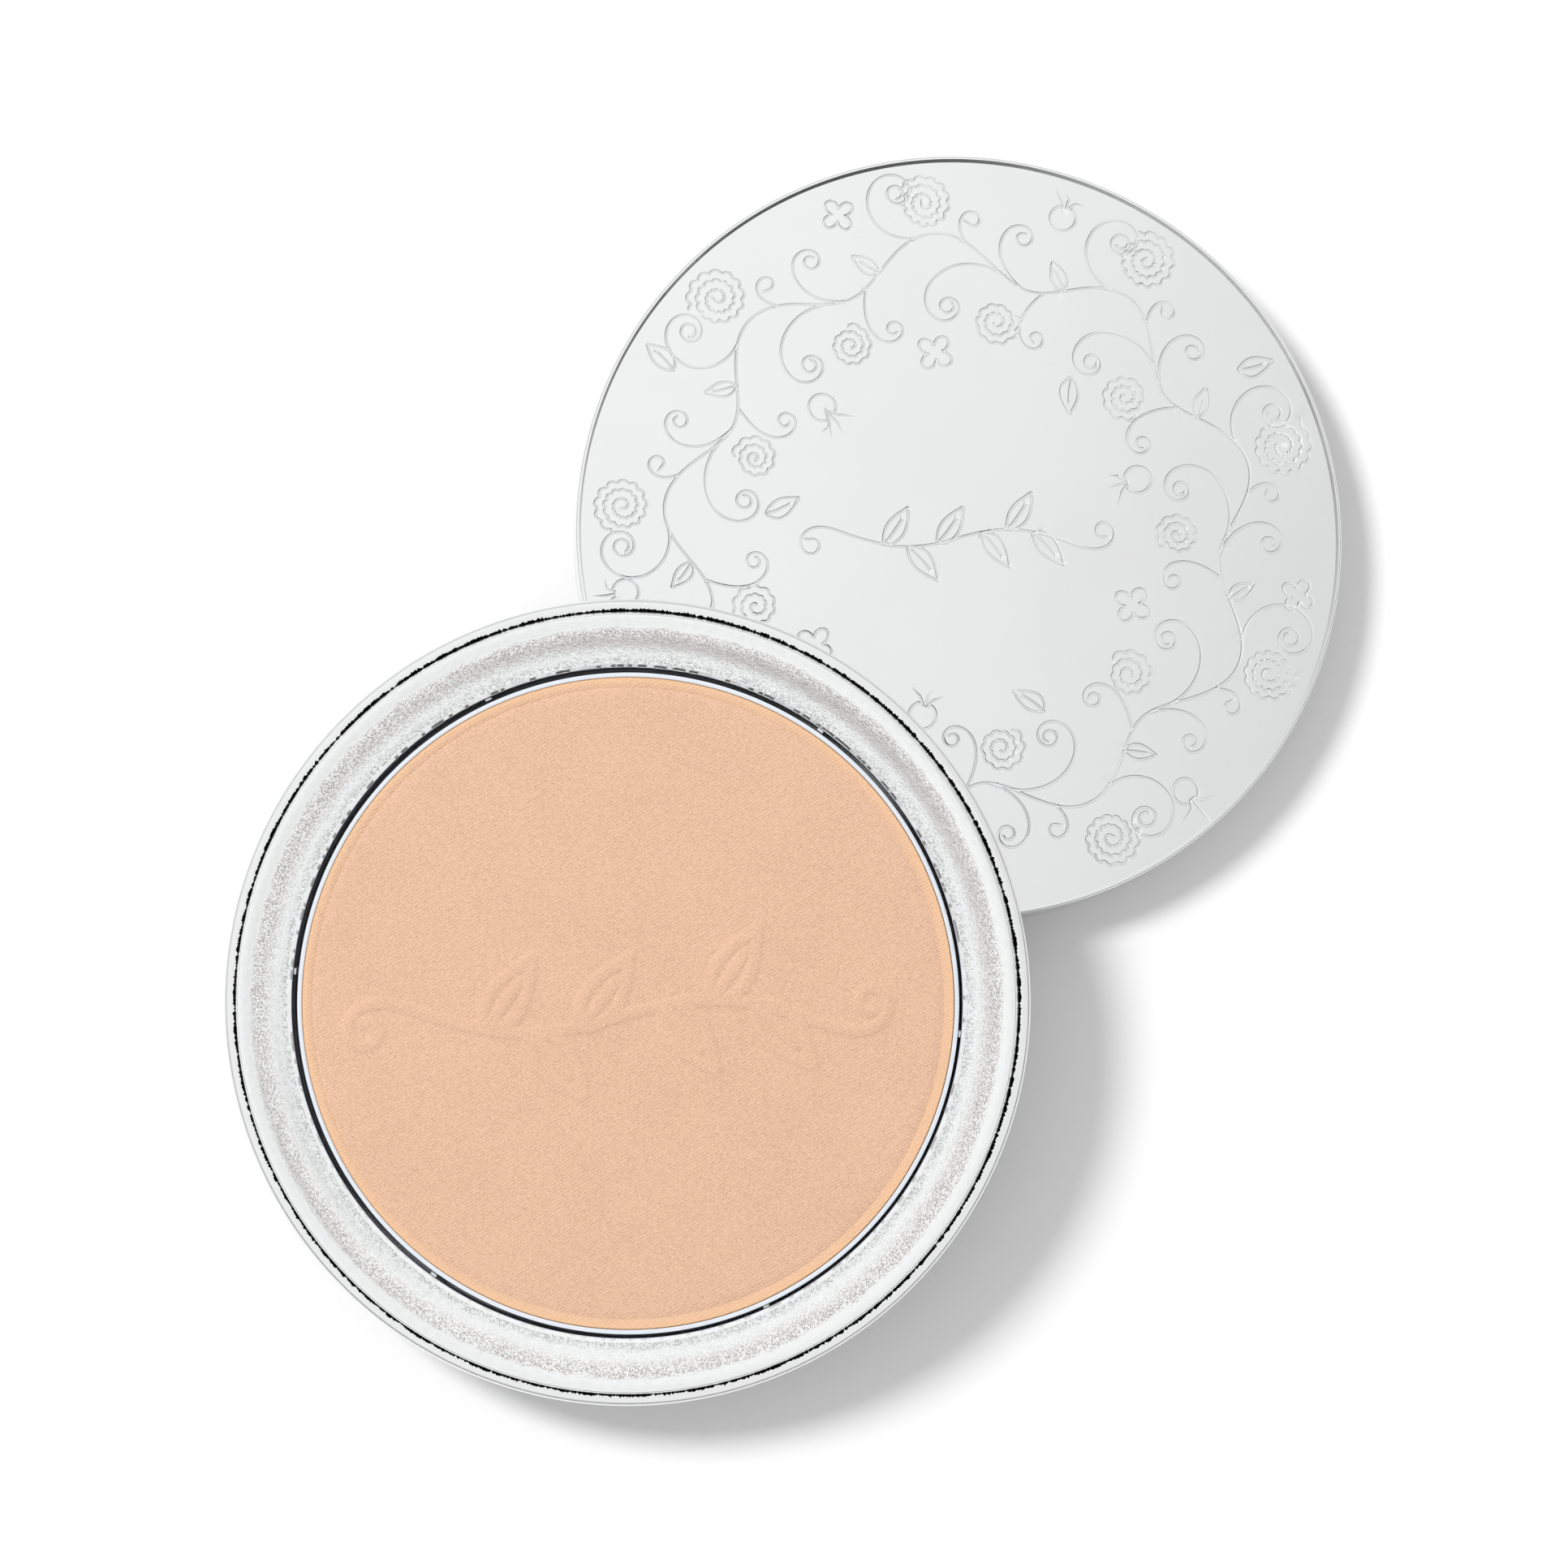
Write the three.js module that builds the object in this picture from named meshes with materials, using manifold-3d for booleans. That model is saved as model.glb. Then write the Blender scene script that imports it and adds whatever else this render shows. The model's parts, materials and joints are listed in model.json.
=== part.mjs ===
// Round powder compact, open: the lid lies face up and the base leans on it.
// Millimetres, +Z up from the surface that the compact stands on, +Y from the base towards the lid.
// Every piece is turned about the axis of its half, so its shape is an outline of (radius, height).
import * as THREE from "three";
import * as BufferGeometryUtils from "three/addons/utils/BufferGeometryUtils.js";
import Module from "manifold-3d";

const wasm = await Module();
wasm.setup();

// Facets round every turned piece
const SEGMENTS = 64;

// How the two halves stand
const LEAN = THREE.MathUtils.degToRad(7.65); // of the base, away from level
const RESTING_GAP = 0.2; // between the underside of the base and the lid's edge

// Base shell
const BODY_RADIUS = 36;
const SHOULDER_HEIGHT = 9;
const SHELL_WALL = 0.8;
const SHELL_FOOT_RADIUS = 2; // round corner between the underside and the side
const SHELL_FLAT_RADIUS = 32.6; // where that corner starts
const SIDE_DRAFT = 12; // degrees that the side leans outwards
const BEAD_OUTER_RADIUS = 0.55; // rounding of the shoulder's outer edge
const BEAD_INNER_RADIUS = 0.18;
const SHOULDER_WIDTH = 0.85;
const LABEL_RECESS_RADIUS = 27;
const LABEL_RECESS_DEPTH = 0.35;

// Collar, a thin pressed ring that makes the low neck and the sloping surround of the powder
const NECK_RADIUS = 34.93;
const NECK_TAPER = 12; // degrees that the neck leans inwards
const NECK_EDGE_RADIUS = 0.45;
const COLLAR_FOOT = 7.3;
const COLLAR_TOP = 10.5;
const COLLAR_WALL = 0.6;
const LAND_DROP = 0.08; // fall of the land between the neck's edge and the slope
const SLOPE_OUTER_RADIUS = 33.55;
const SLOPE_INNER_RADIUS = 30.9;
const SURROUND_HEIGHT = 9.25;
const PAN_WELL_RADIUS = 29.9;
const LIP_WIDTH = 0.25;
const LIP_GROOVE_WIDTH = 0.25;
const LIP_GROOVE_DEPTH = 0.12;
const LIP_FALL = 0.14; // of the lip towards the pan

// Tray that carries the pan and the collar
const TRAY_FLOOR_TOP = 3.8;
const TRAY_WALL = 0.85;
const TRAY_TOP = 7;
const TRAY_FOOT = 1.1;
const FINGER_COUNT = 6;
const FINGER_WIDTH = 0.6;
const FINGER_INNER_RADIUS = 29.53;
const FINGER_OUTER_RADIUS = 29.82;
const FINGER_TOP = 8.8;

// Powder pan, the standard 59 mm size, and what it holds
const PAN_RADIUS = 29.45;
const PAN_WALL = 0.45;
const PAN_BOTTOM = 4.45;
const PAN_TOP = 9.05;
const PAN_CORNER_RADIUS = 0.8;
const POWDER_TOP = 8.95;
const POWDER_GAP = 0.1;
const POWDER_EDGE_RADIUS = 0.3;
const PAN_ADHESIVE_RADIUS = 20;
const ADHESIVE_GAP = 0.12;

// Lid
const LID_RADIUS = 35.7;
const LID_HEIGHT = 6.5;
const LID_WALL = 0.65;
const LID_TOP_THICKNESS = 0.6;
const LID_EDGE_RADIUS = 0.5;
const LID_INNER_CORNER_RADIUS = 0.3;
const LID_RIM_CHAMFER = 0.2;
const LINER_RADIUS = 34.85;
const LINER_BOTTOM = 3.5;
const LINER_TOP = 5.75;
const LINER_SEAT_RADIUS = 31.1;
const BEZEL_RADIUS = 30.2;
const BEZEL_TOP = 4.15;
const LINER_CHAMFER = 0.4;
const MIRROR_RADIUS = 30.9;
const MIRROR_BOTTOM = 4.3;
const MIRROR_THICKNESS = 1.1;
const MIRROR_ADHESIVE_RADIUS = 29;
const MIRROR_ADHESIVE_GAP = 0.1;

// Blank label on the underside
const LABEL_RADIUS = 24;
const LABEL_BOTTOM = 0.1;
const LABEL_THICKNESS = 0.15;

const MATERIALS = {
  satinAluminium: { color: 0xdfe1e2, roughness: 0.35, metalness: 0.9 },
  grainedAluminium: { color: 0xd6d8da, roughness: 0.5, metalness: 0.85 },
  panAluminium: { color: 0xd5dde8, roughness: 0.25, metalness: 1 },
  powder: { color: 0xe9bfa2, roughness: 0.95, metalness: 0 },
  trayPlastic: { color: 0xc9cbcc, roughness: 0.5, metalness: 0 },
  linerPlastic: { color: 0xe8e8e8, roughness: 0.4, metalness: 0 },
  mirrorGlass: { color: 0xeef2f4, roughness: 0.03, metalness: 1 },
  adhesive: { color: 0xf2efe6, roughness: 0.8, metalness: 0 },
  labelPaper: { color: 0xf7f7f5, roughness: 0.7, metalness: 0 },
};

// Points of an outline, as radius and height

function point(radius, height) {
  return new THREE.Vector2(radius, height);
}

function arc(centreRadius, centreHeight, radius, fromDegrees, toDegrees, steps = 3) {
  return Array.from({ length: steps + 1 }, (_, i) => {
    const degrees = THREE.MathUtils.lerp(fromDegrees, toDegrees, i / steps);
    const angle = THREE.MathUtils.degToRad(degrees);
    return point(centreRadius + radius * Math.cos(angle), centreHeight + radius * Math.sin(angle));
  });
}

function disc(radius, bottom, top) {
  return [point(0, bottom), point(radius, bottom), point(radius, top), point(0, top)];
}

// An outline turned about the Z axis. It runs with the material on its left.
function turned(outline) {
  return new THREE.LatheGeometry(outline, SEGMENTS).rotateX(Math.PI / 2);
}

function ring(outline) {
  return turned([...outline, outline[0]]);
}

// Solids that are joined

function toSolid(geometry) {
  const bare = geometry.clone();
  bare.deleteAttribute("normal");
  bare.deleteAttribute("uv");
  const merged = BufferGeometryUtils.mergeVertices(bare, 1e-4);
  const corners = merged.index.array;
  const faces = [];
  for (let i = 0; i < corners.length; i += 3) {
    const [a, b, c] = corners.slice(i, i + 3);
    if (a !== b && b !== c && c !== a) faces.push(a, b, c);
  }
  const mesh = new wasm.Mesh({
    numProp: 3,
    vertProperties: new Float32Array(merged.attributes.position.array),
    triVerts: new Uint32Array(faces),
  });
  return new wasm.Manifold(mesh);
}

function toGeometry(solid) {
  const { numProp, vertProperties, triVerts } = solid.getMesh();
  const geometry = new THREE.BufferGeometry();
  geometry.setAttribute("position", new THREE.BufferAttribute(vertProperties, numProp));
  geometry.setIndex(new THREE.BufferAttribute(triVerts, 1));
  geometry.computeVertexNormals();
  return geometry;
}

// Base pieces, from the underside of the base up

function baseShell() {
  const beadRadius = BODY_RADIUS - BEAD_OUTER_RADIUS;
  const innerTop = BODY_RADIUS - SHOULDER_WIDTH;
  const wellRadius = innerTop + BEAD_INNER_RADIUS;
  const lowestWall = SHOULDER_HEIGHT - SHELL_WALL;
  return turned([
    point(0, LABEL_RECESS_DEPTH),
    point(LABEL_RECESS_RADIUS, LABEL_RECESS_DEPTH),
    point(LABEL_RECESS_RADIUS + LABEL_RECESS_DEPTH, 0),
    ...arc(SHELL_FLAT_RADIUS, SHELL_FOOT_RADIUS, SHELL_FOOT_RADIUS, -90, -SIDE_DRAFT, 5),
    ...arc(beadRadius, SHOULDER_HEIGHT - BEAD_OUTER_RADIUS, BEAD_OUTER_RADIUS, 0, 90),
    ...arc(wellRadius, SHOULDER_HEIGHT - BEAD_INNER_RADIUS, BEAD_INNER_RADIUS, 90, 180, 2),
    point(innerTop, lowestWall),
    ...arc(SHELL_FLAT_RADIUS, SHELL_FOOT_RADIUS, SHELL_FOOT_RADIUS - SHELL_WALL, -SIDE_DRAFT, -90),
    point(0, SHELL_WALL),
  ]);
}

// The surround falls from the neck's top to the lip in one smooth slope.
function slope(fromRadius, toRadius, drop, steps = 7) {
  const fall = COLLAR_TOP - LAND_DROP - SURROUND_HEIGHT;
  return Array.from({ length: steps + 1 }, (_, i) => {
    const radius = THREE.MathUtils.lerp(fromRadius, toRadius, i / steps);
    const share = (radius - SLOPE_INNER_RADIUS) / (SLOPE_OUTER_RADIUS - SLOPE_INNER_RADIUS);
    return point(radius, SURROUND_HEIGHT + (fall * (1 - Math.cos(Math.PI * share))) / 2 - drop);
  });
}

function collarRing() {
  const lipOuter = PAN_WELL_RADIUS + LIP_WIDTH;
  const grooveMiddle = lipOuter + LIP_GROOVE_WIDTH / 2;
  const taper = THREE.MathUtils.degToRad(NECK_TAPER);
  const neckFoot = SHOULDER_HEIGHT - BEAD_INNER_RADIUS;
  const edgeHeight = COLLAR_TOP - NECK_EDGE_RADIUS;
  const taperHeight = edgeHeight + NECK_EDGE_RADIUS * Math.sin(taper) - neckFoot;
  const edgeRadius = NECK_RADIUS - taperHeight * Math.tan(taper) - NECK_EDGE_RADIUS * Math.cos(taper);
  return ring([
    point(NECK_RADIUS, COLLAR_FOOT),
    point(NECK_RADIUS, neckFoot),
    ...arc(edgeRadius, edgeHeight, NECK_EDGE_RADIUS, NECK_TAPER, 90),
    ...slope(SLOPE_OUTER_RADIUS, SLOPE_INNER_RADIUS, 0),
    point(lipOuter + LIP_GROOVE_WIDTH, SURROUND_HEIGHT),
    point(grooveMiddle, SURROUND_HEIGHT - LIP_GROOVE_DEPTH),
    point(lipOuter, SURROUND_HEIGHT),
    point(PAN_WELL_RADIUS, SURROUND_HEIGHT - LIP_FALL),
    point(PAN_WELL_RADIUS, COLLAR_FOOT),
    point(PAN_WELL_RADIUS + COLLAR_WALL, COLLAR_FOOT),
    ...slope(SLOPE_INNER_RADIUS, SLOPE_OUTER_RADIUS, COLLAR_WALL),
    point(edgeRadius, COLLAR_TOP - COLLAR_WALL),
    point(NECK_RADIUS - COLLAR_WALL, neckFoot),
    point(NECK_RADIUS - COLLAR_WALL, COLLAR_FOOT),
  ]);
}

// The skirt stands on the floor of the shell and follows its side.
function innerTray() {
  const skirtFoot = 32.9;
  const skirtBend = point(33.3, 1.75);
  const skirtTop = 34.55;
  const cup = turned([
    point(0, TRAY_FLOOR_TOP - TRAY_WALL),
    point(PAN_WELL_RADIUS + TRAY_WALL, TRAY_FLOOR_TOP - TRAY_WALL),
    point(PAN_WELL_RADIUS + TRAY_WALL, TRAY_TOP - TRAY_WALL),
    point(skirtTop - 1.2 * TRAY_WALL, TRAY_TOP - TRAY_WALL),
    point(skirtBend.x - TRAY_WALL, skirtBend.y),
    point(skirtFoot - TRAY_WALL, TRAY_FOOT),
    point(skirtFoot, TRAY_FOOT),
    skirtBend,
    point(skirtTop, TRAY_TOP),
    point(PAN_WELL_RADIUS, TRAY_TOP),
    point(PAN_WELL_RADIUS, TRAY_FLOOR_TOP),
    point(0, TRAY_FLOOR_TOP),
  ]);
  let tray = toSolid(cup);
  for (let i = 0; i < FINGER_COUNT; i++) {
    const finger = centringFinger().rotateZ(((i + 0.5) * 2 * Math.PI) / FINGER_COUNT);
    tray = tray.add(toSolid(finger));
  }
  return toGeometry(tray);
}

// A thin finger that rises between the pan and the collar and keeps the pan central.
function centringFinger() {
  const root = PAN_WELL_RADIUS + TRAY_WALL / 2;
  const side = new THREE.Shape([
    point(FINGER_INNER_RADIUS, TRAY_FLOOR_TOP - TRAY_WALL / 2),
    point(root, TRAY_FLOOR_TOP - TRAY_WALL / 2),
    point(root, TRAY_TOP - TRAY_WALL / 2),
    point(FINGER_OUTER_RADIUS, TRAY_TOP - TRAY_WALL / 2),
    point(FINGER_OUTER_RADIUS, FINGER_TOP),
    point(FINGER_INNER_RADIUS, FINGER_TOP),
  ]);
  const finger = new THREE.ExtrudeGeometry(side, { depth: FINGER_WIDTH, bevelEnabled: false });
  return finger.translate(0, 0, -FINGER_WIDTH / 2).rotateX(Math.PI / 2);
}

function panAdhesive() {
  return turned(disc(PAN_ADHESIVE_RADIUS, TRAY_FLOOR_TOP + ADHESIVE_GAP, PAN_BOTTOM - ADHESIVE_GAP));
}

function powderPan() {
  const corner = point(PAN_RADIUS - PAN_CORNER_RADIUS, PAN_BOTTOM + PAN_CORNER_RADIUS);
  const innerRadius = PAN_RADIUS - PAN_WALL;
  const burr = 0.08;
  return turned([
    point(0, PAN_BOTTOM),
    ...arc(corner.x, corner.y, PAN_CORNER_RADIUS, -90, 0),
    point(PAN_RADIUS, PAN_TOP - burr),
    point(PAN_RADIUS - burr, PAN_TOP),
    point(innerRadius + burr, PAN_TOP),
    point(innerRadius, PAN_TOP - burr),
    ...arc(corner.x, corner.y, PAN_CORNER_RADIUS - PAN_WALL, 0, -90, 2),
    point(0, PAN_BOTTOM + PAN_WALL),
  ]);
}

function pressedPowder() {
  const radius = PAN_RADIUS - PAN_WALL - POWDER_GAP;
  const bottom = PAN_BOTTOM + PAN_WALL + POWDER_GAP;
  const corner = PAN_CORNER_RADIUS - PAN_WALL;
  const edge = POWDER_EDGE_RADIUS;
  return turned([
    point(0, bottom),
    point(radius - corner, bottom),
    point(radius, bottom + corner),
    ...arc(radius - edge, POWDER_TOP - edge, edge, 0, 90, 2),
    point(0, POWDER_TOP),
  ]);
}

function undersideLabel() {
  return turned(disc(LABEL_RADIUS, LABEL_BOTTOM, LABEL_BOTTOM + LABEL_THICKNESS));
}

// Lid pieces, from the lid's open edge up

function lidShell() {
  const innerRadius = LID_RADIUS - LID_WALL;
  const ceiling = LID_HEIGHT - LID_TOP_THICKNESS;
  const inner = LID_INNER_CORNER_RADIUS;
  const edge = LID_EDGE_RADIUS;
  return turned([
    point(0, ceiling),
    ...arc(innerRadius - inner, ceiling - inner, inner, 90, 0, 2),
    point(innerRadius, LID_RIM_CHAMFER),
    point(innerRadius + LID_RIM_CHAMFER / 2, 0),
    point(LID_RADIUS - LID_RIM_CHAMFER, 0),
    point(LID_RADIUS, LID_RIM_CHAMFER),
    ...arc(LID_RADIUS - edge, LID_HEIGHT - edge, edge, 0, 90),
    point(0, LID_HEIGHT),
  ]);
}

function lidLiner() {
  return ring([
    point(BEZEL_RADIUS + LINER_CHAMFER, LINER_BOTTOM),
    point(LINER_RADIUS - LINER_CHAMFER, LINER_BOTTOM),
    point(LINER_RADIUS, LINER_BOTTOM + LINER_CHAMFER),
    point(LINER_RADIUS, LINER_TOP - LINER_CHAMFER),
    point(LINER_RADIUS - LINER_CHAMFER, LINER_TOP),
    point(LINER_SEAT_RADIUS, LINER_TOP),
    point(LINER_SEAT_RADIUS, BEZEL_TOP),
    point(BEZEL_RADIUS, BEZEL_TOP),
    point(BEZEL_RADIUS, LINER_BOTTOM + LINER_CHAMFER),
  ]);
}

function lidMirror() {
  return turned(disc(MIRROR_RADIUS, MIRROR_BOTTOM, MIRROR_BOTTOM + MIRROR_THICKNESS));
}

function mirrorAdhesive() {
  const bottom = MIRROR_BOTTOM + MIRROR_THICKNESS + MIRROR_ADHESIVE_GAP;
  const top = LID_HEIGHT - LID_TOP_THICKNESS - MIRROR_ADHESIVE_GAP;
  return turned(disc(MIRROR_ADHESIVE_RADIUS, bottom, top));
}

// The two halves and where they stand

function half(pieces) {
  const group = new THREE.Group();
  for (const [name, geometry, material] of pieces) {
    const mesh = new THREE.Mesh(geometry, new THREE.MeshStandardMaterial(MATERIALS[material]));
    mesh.name = name;
    group.add(mesh);
  }
  return group;
}

const base = half([
  ["base_shell", baseShell(), "satinAluminium"],
  ["collar_ring", collarRing(), "grainedAluminium"],
  ["inner_tray", innerTray(), "trayPlastic"],
  ["pan_adhesive", panAdhesive(), "adhesive"],
  ["powder_pan", powderPan(), "panAluminium"],
  ["pressed_powder", pressedPowder(), "powder"],
  ["underside_label", undersideLabel(), "labelPaper"],
]);

const lid = half([
  ["lid_shell", lidShell(), "satinAluminium"],
  ["lid_liner", lidLiner(), "linerPlastic"],
  ["lid_mirror", lidMirror(), "mirrorGlass"],
  ["mirror_adhesive", mirrorAdhesive(), "adhesive"],
]);

// The base stands on the round corner of its underside. From there the underside rises and passes
// RESTING_GAP over the round edge of the lid, which sets how far the lid is from the base.
const baseLift = SHELL_FLAT_RADIUS * Math.sin(LEAN) + SHELL_FOOT_RADIUS * (1 - Math.cos(LEAN));
const edgeCentreHeight = LID_HEIGHT - LID_EDGE_RADIUS;
const edgeDrop = (edgeCentreHeight - baseLift) * Math.cos(LEAN) + LID_EDGE_RADIUS + RESTING_GAP;
const lidDistance = edgeDrop / Math.sin(LEAN) + LID_RADIUS - LID_EDGE_RADIUS;

// The origin is under the middle of the two halves.
const beadCentreRadius = BODY_RADIUS - BEAD_OUTER_RADIUS;
const beadCentreHeight = SHOULDER_HEIGHT - BEAD_OUTER_RADIUS;
const nearEnd = -beadCentreRadius * Math.cos(LEAN) - beadCentreHeight * Math.sin(LEAN) - BEAD_OUTER_RADIUS;
const farEnd = lidDistance + LID_RADIUS;
const middle = (nearEnd + farEnd) / 2;

base.rotation.x = LEAN;
base.position.set(0, -middle, baseLift);
lid.position.set(0, lidDistance - middle, 0);

const compact = new THREE.Group();
compact.add(base, lid);

export default compact;
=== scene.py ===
"""A round powder compact, open: its lid lies face up, and its base leans on the lid.

Each half is shaped in its own frame, in millimetres: z runs up the half's axis from its lowest plane.
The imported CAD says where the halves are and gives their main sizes.
"""

import json
import math

import bpy
import numpy as np
from mathutils import Matrix, Vector
from mathutils.geometry import delaunay_2d_cdt
from mathutils.kdtree import KDTree

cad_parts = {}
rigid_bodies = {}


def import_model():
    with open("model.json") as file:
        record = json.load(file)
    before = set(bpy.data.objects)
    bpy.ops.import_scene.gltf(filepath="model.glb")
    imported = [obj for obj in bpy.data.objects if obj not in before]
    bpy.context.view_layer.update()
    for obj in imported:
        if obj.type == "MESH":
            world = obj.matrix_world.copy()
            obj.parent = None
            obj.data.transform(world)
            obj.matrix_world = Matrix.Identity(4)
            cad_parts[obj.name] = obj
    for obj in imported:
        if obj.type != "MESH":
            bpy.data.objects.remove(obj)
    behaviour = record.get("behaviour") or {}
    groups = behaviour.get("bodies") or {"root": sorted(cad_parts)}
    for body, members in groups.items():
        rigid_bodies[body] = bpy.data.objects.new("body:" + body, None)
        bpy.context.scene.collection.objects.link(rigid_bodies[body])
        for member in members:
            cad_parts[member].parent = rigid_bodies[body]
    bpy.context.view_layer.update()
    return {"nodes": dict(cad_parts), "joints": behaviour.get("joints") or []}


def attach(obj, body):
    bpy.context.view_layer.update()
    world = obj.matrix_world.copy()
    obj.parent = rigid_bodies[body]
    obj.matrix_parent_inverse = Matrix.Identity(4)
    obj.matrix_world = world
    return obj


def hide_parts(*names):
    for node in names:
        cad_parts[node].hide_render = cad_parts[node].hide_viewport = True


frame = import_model()

MM = 0.001
TAU = 2 * math.pi
SEGMENTS = 384
TOLERANCE = 0.01
SHARP_ANGLE = 40

# Seeds of the random draws
SHELL_SEED = 11
COLLAR_SEED = 3
WREATH_SEED = 5

# Turn of the picture about the line of sight: the angle from its right edge up to the lid's side
PICTURE_TURN = 54.6

# Base shell
SHELL_WALL = 0.8
FOOT_RADIUS = 2.0
FOOT_START = 3.4  # from the shell's radius in to where its round foot starts
SIDE_DRAFT = 12
BEAD_RADIUS = 0.55
BEAD_INNER_RADIUS = 0.05
SHOULDER_WIDTH = 1.0
RECESS_RADIUS = 27.0
RECESS_DEPTH = 0.35
RAGGED_SEGMENTS = 2048
RAGGEDNESS = 0.065
GROOVE_WIDENING = 0.05  # how much further out than in the CAD the shell's torn edge lies
SHELL_TEAR_LIMITS = (-0.08, 0.19)
PAINTED_SHADE_REACH = 0.17  # from the shell's inner edge out to where the painted shade in the groove ends

# Collar
COLLAR_SEGMENTS = 1024
NECK_TAPER = 12
NECK_EDGE_RADIUS = 0.25
NECK_TEAR_LIMITS = (-0.1, 0.02)
NECK_CLEAN = (0.1, 0.11)  # the tears end at two rings, where the neck is this much narrower than its foot
COLLAR_WALL = 0.6
LAND_DROP = 0.08
SLOPE_OUTER_RADIUS = 33.55
SLOPE_INNER_RADIUS = 30.9
SLOPE_STRAIGHTNESS = 0.45  # 0 is an even wave, 1 a plain cone
SURROUND_DROP = 1.25  # from the collar's top to the foot of its slope
WELL_RADIUS = 29.9
LIP_WIDTH = 0.34
LIP_FALL = 0.192
LIP_RAGGEDNESS = 0.03
# The lip's innermost part is steeper: its width, and its ends above and below the lip's fall
LIP_ROLL_WIDTH = 0.05
LIP_ROLL_ENDS = (0.03, 0.04)
COLLAR_SHARP_ANGLE = 24
UNEVENNESS = 0.006
UNEVEN_WAVES = 60
PAINTED_SHADE_START = 1.2  # from the top of the slope out to the painted shade on the neck's hidden foot
# Strength of the grain at these shares of the way from the lip to the neck
GRAIN_STRENGTH = (
    (0.0, 1.0), (0.12, 0.8), (0.26, 0.28), (0.45, 0.32), (0.62, 0.9), (0.8, 1.0), (0.93, 0.0))

# Tray
TRAY_WALL = 0.85
TRAY_ROUNDING = 0.25
TRAY_TOP_DROP = 0.3  # below the underside of the collar
PAD_GAP = 0.12  # between the tray's floor and the adhesive on it
SKIRT_FOOT_INSET = 1.65  # from the tray's outer radius in
SKIRT_BEND_INSET = 1.25
SKIRT_BEND_HEIGHT = 0.65
SKIRT_TOP_SHARE = 1.2  # of the wall, where the skirt meets the tray's top
FINGER_WIDTH = 0.6
FINGER_THICKNESS = 0.24
FINGER_COUNT = 6
FINGER_GAP = 0.02  # between a finger and the collar
FINGER_TIP = ((0.1, 1), (0.03, 0.9), (0, 0.7))  # depths below the tip, and the section's share there

# Pan and powder
PAN_SEGMENTS = 512
PAN_WALL = 0.38
PAN_CORNER_RADIUS = 0.8
PAN_RIM_ROUNDING = 0.14
PAN_RIM_FLARE = 0.08
POWDER_EDGE_RADIUS = 0.08
PRESS_LINE = 0.85  # from the powder's edge in to the faint ring that the press leaves
PRESS_LINE_DEPTH = 0.025
PRESS_LINE_STEPS = (0.05, 0.12)  # from that ring's outer edge in to its deepest part and its inner edge
POWDER_FOOT_CHAMFER = 0.35
POWDER_SPREAD = 0.15  # the pressed powder fills its pan to the wall
LOOSENESS = 0.11  # the pan sits that much off the middle of its well
LOOSENESS_TURN = 60  # and that way, from the picture's right edge
MOTIF = (33, 7.5, 15)  # the sprig's length, its leaves' and its curls'
MOTIF_SHIFT = -1.5
MOTIF_FILL = 0.9  # spacing of the points away from the motif
MOTIF_HALF_WIDTH = 0.5
MOTIF_EDGE = 0.16
MOTIF_HEIGHT = 0.08

# Lid
LID_SEGMENTS = 1024
LID_WALL = 0.65
LID_TOP_THICKNESS = 0.6
LID_EDGE_RADIUS = 0.34
LID_BORDER_WIDTH = 0.34  # of the raised border round the lid's face
LID_BORDER_STEP = 0.18
LID_BORDER_HEIGHT = 0.28
LID_FACE_SHIFT = 0.08  # the face is pressed that much off the lid's middle
LID_FACE_TURN = -5  # and that way, from the picture's right edge
LID_SPRIG = (19, 4.2, 10)  # the sprig's length, its leaves' and its curls'
LID_SPRIG_SHIFT = -0.5
LID_FILL = 1.2  # spacing of the points away from the lines
LID_SHARP_ANGLE = 25
LID_INNER_CORNER_RADIUS = 0.3
LID_RIM_CHAMFER = 0.2
LINE_HALF_WIDTH = 0.135
LINE_DEPTH = 0.11
LINE_OUTER_ROW = 2.2  # half widths from a line's middle out to the last points beside it
LINE_WANDER = 0.08
LINER_CHAMFER = 0.4
BEZEL_WIDTH = 0.9
BEZEL_THICKNESS = 0.65
MIRROR_GAP = 0.2  # between the mirror and the liner round it
MIRROR_CHAMFER = 0.12
MIRROR_SHARP_ANGLE = 25

# Underside label
LABEL_CHAMFER = 0.04

# Ornament
CURVE_STEP = 0.13
WELD = 0.035  # points closer than this are one
RELIEF_MARGIN = 0.3  # from a relief disc's edge in to its first points


# The two halves


class Half:
    """One half of the compact: its body, and its own frame, with the origin under its middle."""

    def __init__(self, body, shell, axis):
        up = Vector(axis).normalized()
        right = Vector((1, 0, 0))
        self.body = body
        self.rotation = Matrix((right, up.cross(right), up)).transposed()
        low, high = self.corners(shell)
        middle = Vector(((low[0] + high[0]) / 2, (low[1] + high[1]) / 2, low[2]))
        self.origin = middle
        self.matrix = Matrix.Translation(self.rotation @ middle) @ self.rotation.to_4x4()

    def corners(self, node):
        points = np.array([vertex.co for vertex in frame["nodes"][node].data.vertices])
        turned_back = points @ np.array(self.rotation)
        return turned_back.min(0), turned_back.max(0)

    def measure(self, node):
        """Radius, bottom and top of a CAD node in this half's frame, in millimetres."""
        low, high = self.corners(node)
        return tuple(round(size / MM, 3) for size in (
            (high[0] - low[0]) / 2, low[2] - self.origin.z, high[2] - self.origin.z))

    def place(self, x, y, z):
        """The row-frame point for a point given in this half's frame, in millimetres."""
        return self.matrix @ (Vector((x, y, z)) * MM)


lift_off = frame["joints"][0]
BASE = Half(lift_off["child"], "base_shell", lift_off["axis"])
LID = Half(lift_off["parent"], "lid_shell", (0, 0, 1))


# Outlines, as points of radius and height


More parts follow.
